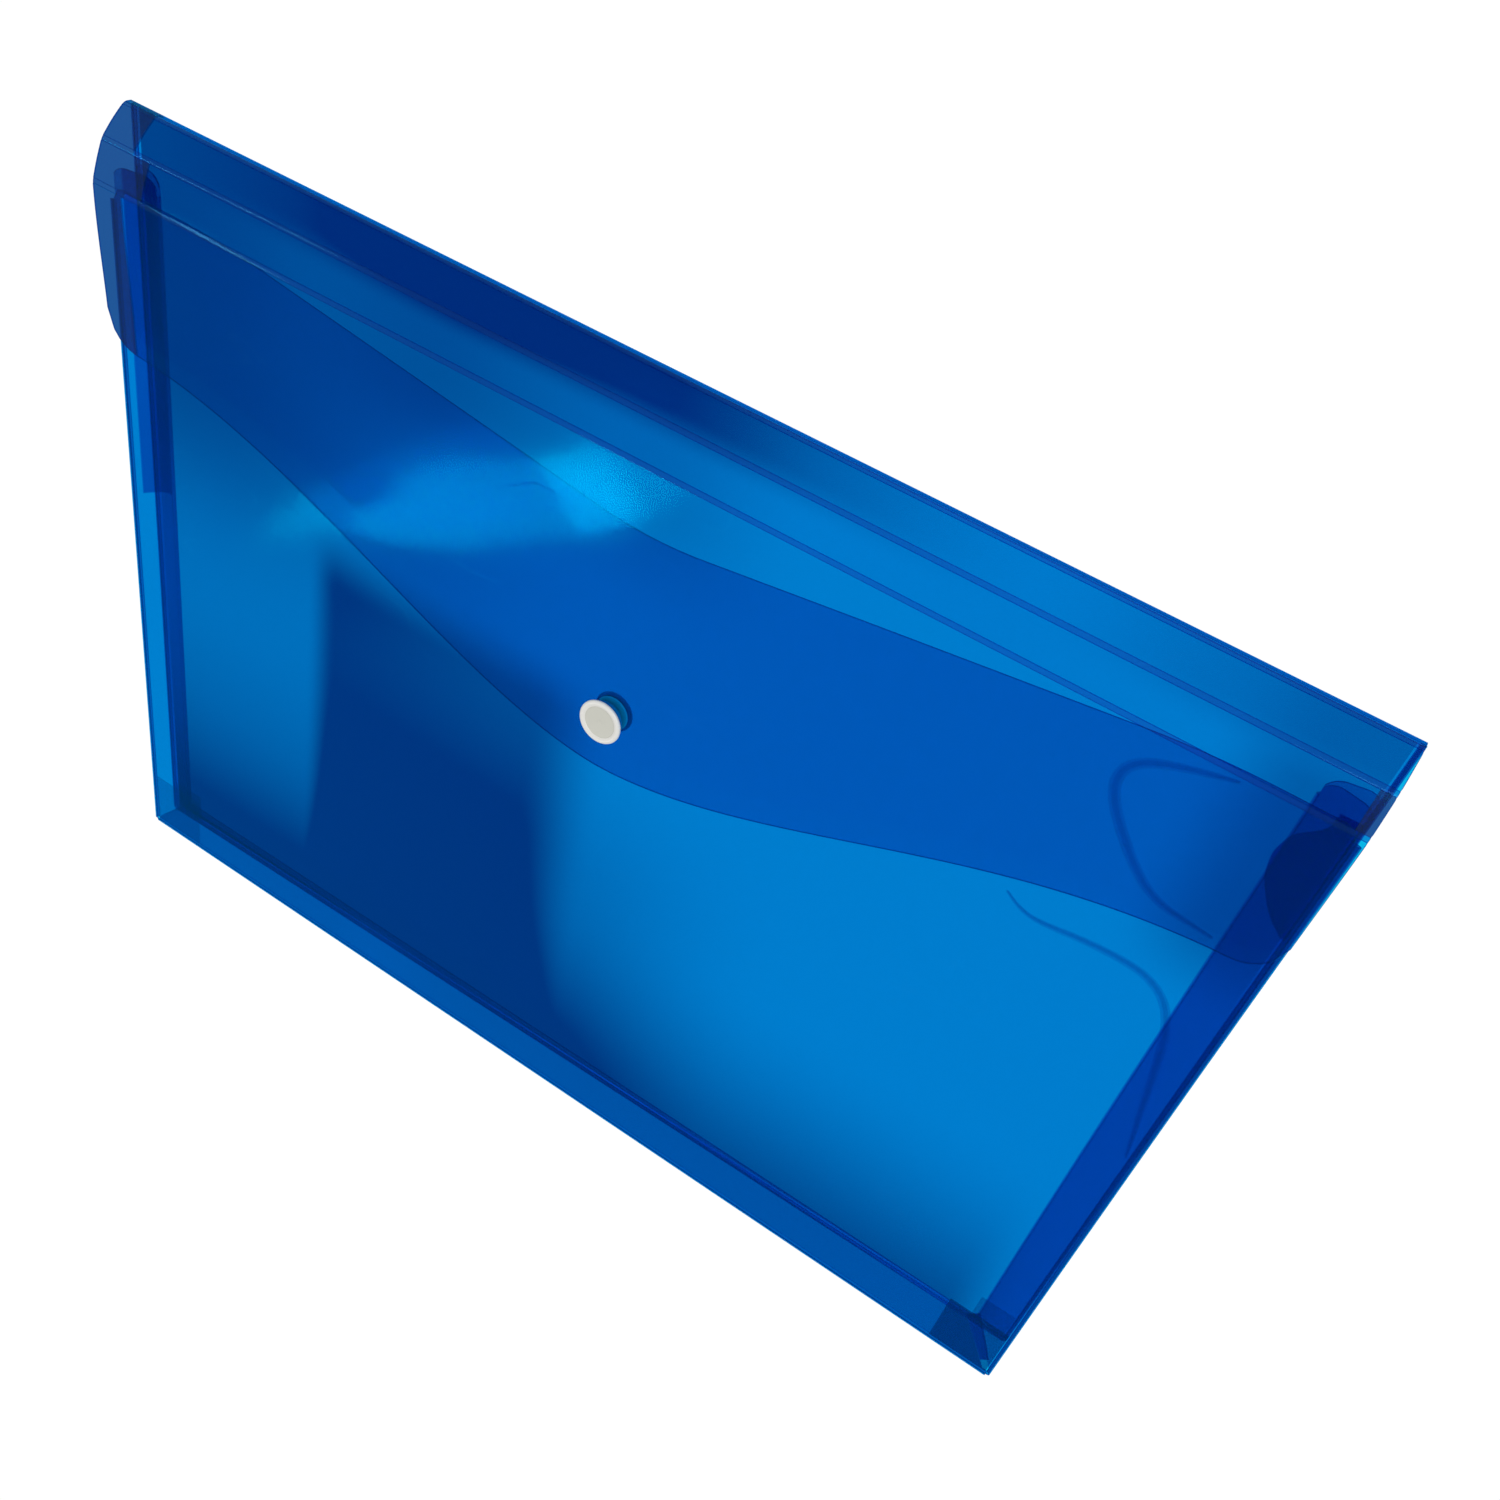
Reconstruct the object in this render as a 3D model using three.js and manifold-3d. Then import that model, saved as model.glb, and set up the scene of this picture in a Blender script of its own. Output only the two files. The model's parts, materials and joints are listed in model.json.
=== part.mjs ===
// Expanding document wallet in translucent blue polypropylene film, lying on its back.
// X runs along the wallet's width, Y up the page towards the top fold, Z out of the front.
// Every panel between two creases is its own plate, so each crease is a hinge line between
// two plates. Lengths are millimetres and angles are radians unless a name says otherwise.
import * as THREE from "three";
import { mergeVertices } from "three/addons/utils/BufferGeometryUtils.js";
import Module from "manifold-3d";

const wasm = await Module();
wasm.setup();

// Film and panels
const panelWidth = 360;
const backHeight = 252;
const mouthStep = 20;
const notchDepth = 19.5;
const notchBlend = 16;
const mouthShoulder = 36;
const shoulderBlend = 16;
const frontCornerRadius = 4;
const film = 0.5;

// How far the wallet stands open: from the back film's outside to the front film's outside
const restDepth = 10;

// Gussets: two leaves that meet in an inward crease, with mitred lower corners
const leafWidth = 13.5;
const gussetOverlap = 5;
const gussetEndRadius = 4.5;
const mitreGap = 0.6;
const foldGap = 0.3;
const creaseGap = 0.4;

// Top fold and spine: the strips that carry the flap from the back round to the front
const foldStrip = 2.6;
const spineLink = 11;
const spineRun = 18;
const hingeGap = 0.3;
const flapLift = 4.6;

// Flap: a wavy lower edge that drops to a tongue in the middle, reaching down from the top fold
const tongueReach = 109.5;
const tongueRise = 46.5;
const waveExponent = 0.88;
const flapCornerRadius = 10;

// Press stud, in the middle of the tongue
const popperInset = 15.5;
const prongRadius = 1.2;
const prongClearance = 0.3;
const prongSetback = 0.2;
const seatGap = 0.1;
const capRadius = 6.6;
const capThickness = 1.6;
const capRim = 0.9;
const capDish = 0.35;
const socketRadius = 5.2;
const socketThickness = 1.7;
const socketWeb = 0.6;
const socketBore = 2.75;
const socketChamfer = 0.35;
const springSlitWidth = 0.5;
const springBarWidth = 0.75;
const studRadius = 5.2;
const studFlange = 0.6;
const studChamfer = 0.25;
const knobHeight = 1.0;
const knobRadius = 2.4;
const knobNeck = 2.1;
const knobNeckShare = 0.3;
const knobGripShare = [0.6, 0.8];
const rivetRadius = 6.0;
const rivetThickness = 1.0;
const rivetDome = [[0.7, 1], [0.92, 0.7], [1, 0.3]];

// How finely the curves are cut
const turnSteps = 40;
const rimSteps = 8;
const waveSteps = 56;
const outlineSteps = 12;

// Values that follow from the sizes above
const halfWidth = panelWidth / 2;
const frontHeight = backHeight - mouthStep;
const gussetHeight = frontHeight + gussetOverlap;
const tongueTip = backHeight - tongueReach;
const popperHeight = tongueTip + popperInset;
const hingeHeight = 2 * film + foldGap + creaseGap / 2;
const leafAngle = Math.asin((restDepth - 2 * hingeHeight) / (2 * leafWidth));
const frontUnderside = restDepth - film;
const flapUnderside = restDepth + flapLift;
const flapTop = flapUnderside + film;
const foldLineY = backHeight - film / 2;
const foldTopZ = film + foldStrip;
const flapCreaseY = foldLineY - spineRun;
const flapCreaseZ = flapUnderside + film / 2;
const spineRise = flapCreaseZ - foldTopZ;
const spineChord = Math.hypot(spineRun, spineRise);
const spineBend = Math.acos(spineChord / (2 * spineLink));
const spineSlope = Math.atan2(spineRise, spineRun);
const filmHole = prongRadius + prongClearance;

const blueFilm = { color: 0x0a5fc4, roughness: 0.22, metalness: 0, transparent: true, opacity: 0.62 };
const whitePlastic = { color: 0xecebe4, roughness: 0.32, metalness: 0 };

// The wallet is modelled from its bottom fold upwards, and centred on Y by this group.
const wallet = new THREE.Group();
wallet.position.y = -backHeight / 2;

// Reduce a geometry to one closed shell of merged corners with its faces pointing out.
function closedShell(geometry) {
  const bare = geometry.index ? geometry.toNonIndexed() : geometry.clone();
  for (const name of Object.keys(bare.attributes)) {
    if (name !== "position") bare.deleteAttribute(name);
  }
  const merged = mergeVertices(bare, 1e-4);
  const point = merged.attributes.position;
  const corner = (i) => new THREE.Vector3().fromBufferAttribute(point, i);
  const faces = [];
  let volume = 0;
  for (let i = 0; i < merged.index.count; i += 3) {
    const [a, b, c] = [0, 1, 2].map((k) => merged.index.getX(i + k));
    if (a === b || b === c || c === a) continue;
    faces.push([a, b, c]);
    volume += corner(a).dot(corner(b).cross(corner(c)));
  }
  merged.setIndex(faces.flatMap(([a, b, c]) => (volume > 0 ? [a, b, c] : [a, c, b])));
  merged.computeVertexNormals();
  return merged;
}

function toManifold(geometry) {
  const shell = closedShell(geometry);
  const vertProperties = new Float32Array(shell.attributes.position.array);
  const triVerts = new Uint32Array(shell.index.array);
  return new wasm.Manifold(new wasm.Mesh({ numProp: 3, vertProperties, triVerts }));
}

function fromManifold(solid) {
  const mesh = solid.getMesh();
  const geometry = new THREE.BufferGeometry();
  geometry.setAttribute("position", new THREE.Float32BufferAttribute(mesh.vertProperties, 3));
  geometry.setIndex([...mesh.triVerts]);
  return geometry;
}

function addPiece(parent, name, geometry, material) {
  const piece = new THREE.Mesh(closedShell(geometry), new THREE.MeshStandardMaterial(material));
  piece.name = name;
  parent.add(piece);
  return piece;
}

// A group whose origin lies on a hinge line and which is turned to the plate's rest angle.
function hingeGroup({ x = 0, y = 0, z, turnX = 0, turnY = 0 }) {
  const group = new THREE.Group();
  group.position.set(x, y, z);
  group.rotation.set(turnX, turnY, 0);
  wallet.add(group);
  return group;
}

// A film plate: the outline extruded by the film's thickness, from the height bottomZ up.
function filmPlate(outline, bottomZ) {
  const plate = new THREE.ExtrudeGeometry(outline, { depth: film, bevelEnabled: false, curveSegments: outlineSteps });
  return plate.translate(0, 0, bottomZ);
}

function rectangle(x0, y0, x1, y1) {
  const shape = new THREE.Shape();
  shape.moveTo(x0, y0);
  shape.lineTo(x1, y0);
  shape.lineTo(x1, y1);
  shape.lineTo(x0, y1);
  shape.closePath();
  return shape;
}

function popperHole(y) {
  const hole = new THREE.Path();
  hole.absarc(0, y, filmHole, 0, 2 * Math.PI, true);
  return hole;
}

// Back panel: a plain sheet from the bottom fold to the top fold
addPiece(wallet, "back_panel", filmPlate(rectangle(-halfWidth, 0, halfWidth, backHeight), 0), blueFilm);

// Front panel: its mouth is cut to a wide shallow V with a soft point and level shoulders.
function frontOutline() {
  const shoulderX = halfWidth - mouthShoulder;
  const slope = notchDepth / shoulderX;
  const apexY = frontHeight - notchDepth;
  const shape = new THREE.Shape();
  shape.moveTo(-halfWidth, 0);
  shape.lineTo(halfWidth, 0);
  shape.lineTo(halfWidth, frontHeight - frontCornerRadius);
  shape.quadraticCurveTo(halfWidth, frontHeight, halfWidth - frontCornerRadius, frontHeight);
  shape.lineTo(shoulderX + shoulderBlend, frontHeight);
  shape.quadraticCurveTo(
    shoulderX, frontHeight,
    shoulderX - shoulderBlend, frontHeight - shoulderBlend * slope,
  );
  shape.lineTo(notchBlend, apexY + notchBlend * slope);
  shape.quadraticCurveTo(0, apexY, -notchBlend, apexY + notchBlend * slope);
  shape.lineTo(-shoulderX + shoulderBlend, frontHeight - shoulderBlend * slope);
  shape.quadraticCurveTo(-shoulderX, frontHeight, -shoulderX - shoulderBlend, frontHeight);
  shape.lineTo(-halfWidth + frontCornerRadius, frontHeight);
  shape.quadraticCurveTo(-halfWidth, frontHeight, -halfWidth, frontHeight - frontCornerRadius);
  shape.closePath();
  shape.holes.push(popperHole(popperHeight));
  return shape;
}
addPiece(wallet, "front_panel", filmPlate(frontOutline(), frontUnderside), blueFilm);

// Gusset leaves. A rear leaf hangs just under its hinge line and a front leaf lies just over
// its own, so the pair folds flat with the crease gap between them. side is -1 left, 1 right.
const rearLeafZ = -creaseGap / 2 - film;
const frontLeafZ = creaseGap / 2;

function sideLeafOutline(side) {
  const inward = (u) => -side * u;
  const shape = new THREE.Shape();
  shape.moveTo(inward(0), mitreGap);
  shape.lineTo(inward(leafWidth), leafWidth + mitreGap);
  shape.lineTo(inward(leafWidth), gussetHeight - gussetEndRadius);
  shape.quadraticCurveTo(
    inward(leafWidth), gussetHeight,
    inward(leafWidth - gussetEndRadius), gussetHeight,
  );
  shape.lineTo(inward(gussetEndRadius), gussetHeight);
  shape.quadraticCurveTo(inward(0), gussetHeight, inward(0), gussetHeight - gussetEndRadius);
  shape.closePath();
  return shape;
}

function addSideGusset(name, side) {
  const rear = hingeGroup({ x: side * halfWidth, z: hingeHeight, turnY: side * leafAngle });
  const front = hingeGroup({ x: side * halfWidth, z: restDepth - hingeHeight, turnY: -side * leafAngle });
  addPiece(rear, `${name}_rear`, filmPlate(sideLeafOutline(side), rearLeafZ), blueFilm);
  addPiece(front, `${name}_front`, filmPlate(sideLeafOutline(side), frontLeafZ), blueFilm);
}
addSideGusset("left_gusset", -1);
addSideGusset("right_gusset", 1);

function bottomLeafOutline() {
  const foot = halfWidth - mitreGap;
  const shape = new THREE.Shape();
  shape.moveTo(-foot, 0);
  shape.lineTo(foot, 0);
  shape.lineTo(foot - leafWidth, leafWidth);
  shape.lineTo(-foot + leafWidth, leafWidth);
  shape.closePath();
  return shape;
}
const bottomRear = hingeGroup({ z: hingeHeight, turnX: leafAngle });
const bottomFront = hingeGroup({ z: restDepth - hingeHeight, turnX: -leafAngle });
addPiece(bottomRear, "bottom_gusset_rear", filmPlate(bottomLeafOutline(), rearLeafZ), blueFilm);
addPiece(bottomFront, "bottom_gusset_front", filmPlate(bottomLeafOutline(), frontLeafZ), blueFilm);

// Top fold: a narrow strip that stands on the back panel's upper edge. Above it the spine's
// two strips lean over the mouth. Each strip runs down the page from its own hinge line.
function strip(length, fromStart) {
  return filmPlate(rectangle(-halfWidth, -length + hingeGap, halfWidth, -fromStart), -film / 2);
}
const topFold = hingeGroup({ y: foldLineY, z: foldTopZ, turnX: Math.PI / 2 });
addPiece(topFold, "top_fold", strip(foldStrip, hingeGap), blueFilm);

const rearSlope = spineSlope + spineBend;
const frontSlope = spineSlope - spineBend;
const spineRear = hingeGroup({ y: foldLineY, z: foldTopZ, turnX: -rearSlope });
addPiece(spineRear, "spine_rear", strip(spineLink, hingeGap), blueFilm);

const spineCreaseY = foldLineY - spineLink * Math.cos(rearSlope);
const spineCreaseZ = foldTopZ + spineLink * Math.sin(rearSlope);
const spineFront = hingeGroup({ y: spineCreaseY, z: spineCreaseZ, turnX: -frontSlope });
addPiece(spineFront, "spine_front", strip(spineLink, hingeGap), blueFilm);

// Flap: full width at its crease. The lower edge is one wave of a cosine from side to side,
// so it leaves the sides level and dips to the tongue. An exponent under 1 makes the tongue
// narrower and its flanks straighter.
function flapEdgeY(x) {
  const outward = (Math.abs(x) / halfWidth) ** waveExponent;
  return tongueTip + (tongueRise * (1 - Math.cos(Math.PI * outward))) / 2;
}

function flapOutline() {
  const waveEnd = halfWidth - flapCornerRadius;
  const sideY = flapEdgeY(halfWidth) + flapCornerRadius;
  const shape = new THREE.Shape();
  shape.moveTo(halfWidth, flapCreaseY - hingeGap);
  shape.lineTo(-halfWidth, flapCreaseY - hingeGap);
  shape.lineTo(-halfWidth, sideY);
  shape.quadraticCurveTo(-halfWidth, flapEdgeY(waveEnd), -waveEnd, flapEdgeY(waveEnd));
  for (let i = 1; i <= waveSteps; i += 1) {
    const x = -waveEnd + (2 * waveEnd * i) / waveSteps;
    shape.lineTo(x, flapEdgeY(x));
  }
  shape.quadraticCurveTo(halfWidth, flapEdgeY(waveEnd), halfWidth, sideY);
  shape.closePath();
  shape.holes.push(popperHole(popperHeight));
  return shape;
}
addPiece(wallet, "flap", filmPlate(flapOutline(), flapUnderside), blueFilm);

// Press stud. Each part is a turned profile of [radius, height] points about the popper's axis.
function turned(points) {
  const profile = points.map(([radius, height]) => new THREE.Vector2(radius, height));
  return new THREE.LatheGeometry(profile, turnSteps).rotateX(Math.PI / 2);
}

function addPopperPiece(name, geometry, z) {
  addPiece(wallet, name, geometry, whitePlastic).position.set(0, popperHeight, z);
}

// Cap: a shallow dish with a rounded rim on the outside of the flap. Its prong goes down
// through the film into the socket's web.
function capProfile() {
  const points = [[0, -prongLength()], [prongRadius, -prongLength()], [prongRadius, 0]];
  points.push([capRadius - capRim / 2, 0]);
  for (let i = 0; i <= rimSteps; i += 1) {
    const angle = -Math.PI / 6 + (i / rimSteps) * ((2 * Math.PI) / 3);
    const reach = capRadius - capRim + capRim * Math.cos(angle);
    points.push([reach, capThickness - capRim + capRim * Math.sin(angle)]);
  }
  points.push([capRadius - 1.5 * capRim, capThickness - capDish / 3]);
  points.push([capRadius - 2 * capRim, capThickness - capDish]);
  points.push([0, capThickness - capDish]);
  return points;
}
function prongLength() {
  return film + 2 * seatGap + socketWeb - prongSetback;
}
addPopperPiece("popper_cap", turned(capProfile()), flapTop + seatGap);

// Socket: a ring under the flap, open below. Two slits beside the bore leave the thin
// spring bars that grip the knob.
function socketSolid() {
  const prongHole = prongRadius + prongClearance / 2;
  const ring = turned([
    [prongHole, 0],
    [socketRadius - socketChamfer, 0],
    [socketRadius, -socketChamfer],
    [socketRadius, -socketThickness + socketChamfer],
    [socketRadius - socketChamfer, -socketThickness],
    [socketBore + socketChamfer / 2, -socketThickness],
    [socketBore, -socketThickness + socketChamfer / 2],
    [socketBore, -socketWeb],
    [prongHole, -socketWeb],
    [prongHole, 0],
  ]);
  const slitDepth = socketThickness - socketWeb;
  const slitLength = 2 * socketBore;
  let solid = toManifold(ring);
  for (const side of [-1, 1]) {
    const slit = new THREE.BoxGeometry(springSlitWidth, slitLength, slitDepth);
    slit.translate(side * (socketBore + springBarWidth + springSlitWidth / 2), 0, -socketThickness + slitDepth / 2 - seatGap);
    solid = solid.subtract(toManifold(slit));
  }
  return fromManifold(solid);
}
addPopperPiece("popper_socket", socketSolid(), flapUnderside - seatGap);

// Stud: a flange on the front panel with a knob whose head is wider than its neck
function studProfile() {
  const top = studFlange + knobHeight;
  const bore = prongRadius + prongClearance / 2;
  return [
    [bore, 0],
    [studRadius - studChamfer, 0],
    [studRadius, studChamfer],
    [studRadius - studChamfer, studFlange],
    [knobNeck, studFlange],
    [knobNeck, studFlange + knobNeckShare * knobHeight],
    ...knobGripShare.map((share) => [knobRadius, studFlange + share * knobHeight]),
    [knobNeck, top],
    [bore, top],
    [bore, 0],
  ];
}
addPopperPiece("popper_stud", turned(studProfile()), restDepth + seatGap);

// Rivet: a domed head inside the pocket whose prong holds the stud on
function rivetProfile() {
  const prongTop = film + 2 * seatGap + studFlange + knobHeight - prongSetback;
  return [
    [0, -rivetThickness],
    ...rivetDome.map(([out, up]) => [rivetRadius * out, -rivetThickness * up]),
    [rivetRadius, 0],
    [prongRadius, 0],
    [prongRadius, prongTop],
    [0, prongTop],
  ];
}
addPopperPiece("popper_rivet", turned(rivetProfile()), frontUnderside - seatGap);

export default wallet;
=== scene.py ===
# %% [markdown]
# # An expanding document wallet
#
# The wallet is one sheet of glossy blue film that is cut, creased and welded to three V-fold
# gussets. A white press stud holds its flap. Film this thin shows every layer behind it, so the
# look depends on how many sheets lie over each other, and each sheet has to be in its real place.
#
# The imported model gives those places. It is loaded first, and every piece below takes its
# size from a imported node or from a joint, which lies on the crease that it stands for.

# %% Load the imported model
import json
import math

import bmesh
import bpy
import numpy as np
from mathutils import Matrix, Quaternion, Vector


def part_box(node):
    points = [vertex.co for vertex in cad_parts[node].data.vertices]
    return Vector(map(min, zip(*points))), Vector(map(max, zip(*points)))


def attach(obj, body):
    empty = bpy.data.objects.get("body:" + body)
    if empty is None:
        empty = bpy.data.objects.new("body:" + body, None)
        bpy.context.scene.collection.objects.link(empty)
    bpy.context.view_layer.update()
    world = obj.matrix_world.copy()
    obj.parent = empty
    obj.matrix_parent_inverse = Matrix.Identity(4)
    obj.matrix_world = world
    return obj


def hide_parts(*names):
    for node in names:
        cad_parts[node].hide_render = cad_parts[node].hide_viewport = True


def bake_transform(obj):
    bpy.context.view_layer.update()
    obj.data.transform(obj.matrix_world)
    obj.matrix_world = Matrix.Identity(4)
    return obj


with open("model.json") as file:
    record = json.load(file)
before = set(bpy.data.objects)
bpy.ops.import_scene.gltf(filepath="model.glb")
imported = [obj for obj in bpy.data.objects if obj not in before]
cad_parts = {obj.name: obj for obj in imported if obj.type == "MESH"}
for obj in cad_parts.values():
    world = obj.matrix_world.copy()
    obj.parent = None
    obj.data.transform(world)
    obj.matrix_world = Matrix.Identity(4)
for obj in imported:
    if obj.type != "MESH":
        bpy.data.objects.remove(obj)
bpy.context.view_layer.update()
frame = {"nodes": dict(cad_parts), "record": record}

# %% [markdown]
# ## Sizes
#
# Lengths are easiest to think about in millimetres, so every helper works in millimetres and
# turns them into Blender's metres at the last moment. The wallet lies on its back: X runs along
# its width, Y up the page and Z out of the front.

# %% Sizes and crease lines
MM = 0.001
film = 0.5


def size_of(node):
    low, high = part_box(node)
    return [v / MM for v in low], [v / MM for v in high]


creases = {j["name"]: np.array(j["pos_m"]) / MM for j in frame["record"]["behaviour"]["joints"]}
back_low, back_high = size_of("back_panel")
front_low, front_high = size_of("front_panel")
flap_low, flap_high = size_of("flap")
half = back_high[0]
foot, head = back_low[1], back_high[1]
front_level = (front_low[2] + front_high[2]) / 2
flap_level = (flap_low[2] + flap_high[2]) / 2
print(f"wallet {2 * half:.0f} x {head - foot:.0f} mm")
print(f"front film at {front_level:.2f} mm, flap at {flap_level:.2f} mm")

# %% [markdown]
# ## Camera
#
# The photograph looks down on the wallet from over its right upper corner, with a rather wide
# lens: the near corner is large and the far one small. The numbers come from matching the
# wallet's corners and crease ends to the photograph. The camera leans, because the wallet in
# the photograph stands up and here it lies on its back.

# %% Camera
def camera_frame(look, up):
    look = Vector(look).normalized()
    right = look.cross(Vector(up)).normalized()
    return Matrix((right, right.cross(look), -look)).transposed()


camera = bpy.data.objects.new("camera", bpy.data.cameras.new("camera"))
camera.data.sensor_width = 36
camera.data.lens = 34.24
camera.data.shift_x, camera.data.shift_y = -0.006, 0.0853
camera.matrix_world = Matrix.Translation((0.1459, 0.2711, 0.2886)) @ camera_frame(
    (-0.2305, -0.6707, -0.7050), (-0.4918, 0.7055, -0.5103)
).to_4x4()
bpy.context.collection.objects.link(camera)
bpy.context.scene.camera = camera
bpy.context.scene.view_settings.view_transform = "Standard"
print("camera lens", camera.data.lens, "mm")

# %% [markdown]
# ## Floor and light
#
# Blue film only looks clean and bright in front of something white. The floor is a plain white
# sheet, and for what the camera sees most of it is given as white light, so it stays white
# without more light on the wallet. The rest is a matt surface, which keeps a soft shadow.
#
# The wallet keeps light from the floor under it, and unevenly: in the photograph two layers of
# film are bright in the middle and at the right, and dark along the lower edge, at the upper
# left and in one upright band. A second sheet, only as large as the wallet, carries that shadow
# as soft patches that rise and fall over given stretches of X and Y.

# %% Floor
def new_material(name):
    material = bpy.data.materials.new(name)
    material.use_nodes = True
    material.node_tree.nodes.clear()
    return material, material.node_tree.nodes, material.node_tree.links


def seen_directly(nodes, links):
    """1 for the rays that show a background: camera, mirror and glass rays."""
    path = nodes.new("ShaderNodeLightPath")
    either = nodes.new("ShaderNodeMath")
    either.operation = "MAXIMUM"
    links.new(path.outputs["Is Camera Ray"], either.inputs[0])
    links.new(path.outputs["Is Glossy Ray"], either.inputs[1])
    every = nodes.new("ShaderNodeMath")
    every.operation = "MAXIMUM"
    links.new(either.outputs[0], every.inputs[0])
    links.new(path.outputs["Is Transmission Ray"], every.inputs[1])
    return every.outputs[0]


def soft_patch(nodes, links, x_edges, y_edges, depth):
    """A shade that rises and falls over stretches of X and Y, in millimetres. None is no edge."""
    place = nodes.new("ShaderNodeTexCoord")
    split = nodes.new("ShaderNodeSeparateXYZ")
    links.new(place.outputs["Object"], split.inputs[0])
    shade = None
    for axis, edges in (("X", x_edges), ("Y", y_edges)):
        for stretch, ends in zip(edges, ((0.0, 1.0), (1.0, 0.0))):
            if stretch is None:
                continue
            edge = nodes.new("ShaderNodeMapRange")
            edge.interpolation_type = "SMOOTHSTEP"
            edge.inputs["From Min"].default_value = stretch[0] * MM
            edge.inputs["From Max"].default_value = stretch[1] * MM
            edge.inputs["To Min"].default_value, edge.inputs["To Max"].default_value = ends
            links.new(split.outputs[axis], edge.inputs["Value"])
            part = nodes.new("ShaderNodeMath")
            part.operation = "MULTIPLY"
            links.new(edge.outputs[0], part.inputs[0])
            if shade:
                links.new(shade, part.inputs[1])
            else:
                part.inputs[1].default_value = depth
            shade = part.outputs[0]
    return shade


def ground(name, corner_low, corner_high, height, patches):
    """A level sheet that looks white where no patch shades it. Lengths in millimetres."""
    material, nodes, links = new_material(name + "_white")
    matt = nodes.new("ShaderNodeBsdfDiffuse")
    matt.inputs["Color"].default_value = (0.9, 0.9, 0.9, 1)
    glow = nodes.new("ShaderNodeEmission")
    glow.inputs["Color"].default_value = (1, 1, 1, 1)
    glow.inputs["Strength"].default_value = 1.04
    if patches:
        shade = None
        for patch in patches:
            total = nodes.new("ShaderNodeMath")
            total.operation = "ADD"
            total.use_clamp = True
            links.new(soft_patch(nodes, links, *patch), total.inputs[0])
            if shade:
                links.new(shade, total.inputs[1])
            else:
                total.inputs[1].default_value = 0.0
            shade = total.outputs[0]
        tone = nodes.new("ShaderNodeMix")
        tone.data_type = "RGBA"
        tone.inputs["A"].default_value = (1, 1, 1, 1)
        tone.inputs["B"].default_value = (0.02, 0.1, 0.3, 1)
        links.new(shade, tone.inputs["Factor"])
        links.new(tone.outputs["Result"], glow.inputs["Color"])
        links.new(tone.outputs["Result"], matt.inputs["Color"])
    share = nodes.new("ShaderNodeMath")
    share.operation = "MULTIPLY"
    share.inputs[1].default_value = 0.95
    links.new(seen_directly(nodes, links), share.inputs[0])
    mix = nodes.new("ShaderNodeMixShader")
    links.new(share.outputs[0], mix.inputs["Fac"])
    links.new(matt.outputs[0], mix.inputs[1])
    links.new(glow.outputs[0], mix.inputs[2])
    output = nodes.new("ShaderNodeOutputMaterial")
    links.new(mix.outputs[0], output.inputs["Surface"])
    mesh = bpy.data.meshes.new(name)
    (x0, y0), (x1, y1) = corner_low, corner_high
    corners = [(x0, y0, height), (x1, y0, height), (x1, y1, height), (x0, y1, height)]
    mesh.from_pydata([[v * MM for v in corner] for corner in corners], [], [(0, 1, 2, 3)])
    sheet = bpy.data.objects.new(name, mesh)
    sheet.data.materials.append(material)
    bpy.context.collection.objects.link(sheet)


# Each patch: where it rises and falls along X, the same along Y, and how dark it is. In turn:
# the lower edge, the upright band, the lower left, the upper left corner, the top fold's left
# half, the strip below that, the fold's right end, and the right edge's upper part twice.
SHADE = [
    ((None, (155, 178)), (None, (-145, -45)), 0.85),
    (((-118, -106), (-32, -2)), (None, (10, 32)), 0.72),
    ((None, (-20, 70)), (None, (-60, 20)), 0.42),
    ((None, (-165, -5)), ((-40, 60), None), 0.82),
    (((-175, -60), (5, 95)), ((106, 117), None), 0.62),
    (((-130, -60), (-15, 40)), ((55, 95), None), 0.42),
    (((90, 150), None), ((104, 116), None), 0.3),
    (((140, 165), None), ((30, 60), (104, 112)), 0.5),
    (((140, 165), None), ((104, 112), None), 0.2),
]
ground("floor", (-8000, -8000), (8000, 8000), -0.4, [])
ground("shade", (-half + 1.5, foot + 1.5), (half - 1.5, head - 1.5), -0.2, SHADE)
print("floor: 16 m square, with", len(SHADE), "patches of soft shadow under the wallet")

# %% Light
def soft_lamp(name, place, target, width, height, power, shape="RECTANGLE", turn=0.0):
    lamp = bpy.data.lights.new(name, "AREA")
    lamp.shape = shape
    lamp.size, lamp.size_y, lamp.energy = width, height, power
    holder = bpy.data.objects.new(name, lamp)
    holder.location = place
    aim = (Vector(target) - Vector(place)).to_track_quat("-Z", "Y")
    holder.rotation_euler = (aim @ Quaternion((0, 0, 1), math.radians(turn))).to_euler()
    bpy.context.collection.objects.link(holder)
    return holder


def studio_world():
    world = bpy.data.worlds.new("studio")
    world.use_nodes = True
    nodes, links = world.node_tree.nodes, world.node_tree.links
    nodes.clear()
    around = nodes.new("ShaderNodeBackground")
    around.inputs["Strength"].default_value = 0.55
    behind = nodes.new("ShaderNodeBackground")
    behind.inputs["Strength"].default_value = 1.0
    mix = nodes.new("ShaderNodeMixShader")
    links.new(seen_directly(nodes, links), mix.inputs["Fac"])
    links.new(around.outputs[0], mix.inputs[1])
    links.new(behind.outputs[0], mix.inputs[2])
    output = nodes.new("ShaderNodeOutputWorld")
    links.new(mix.outputs[0], output.inputs["Surface"])
    bpy.context.scene.world = world


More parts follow.
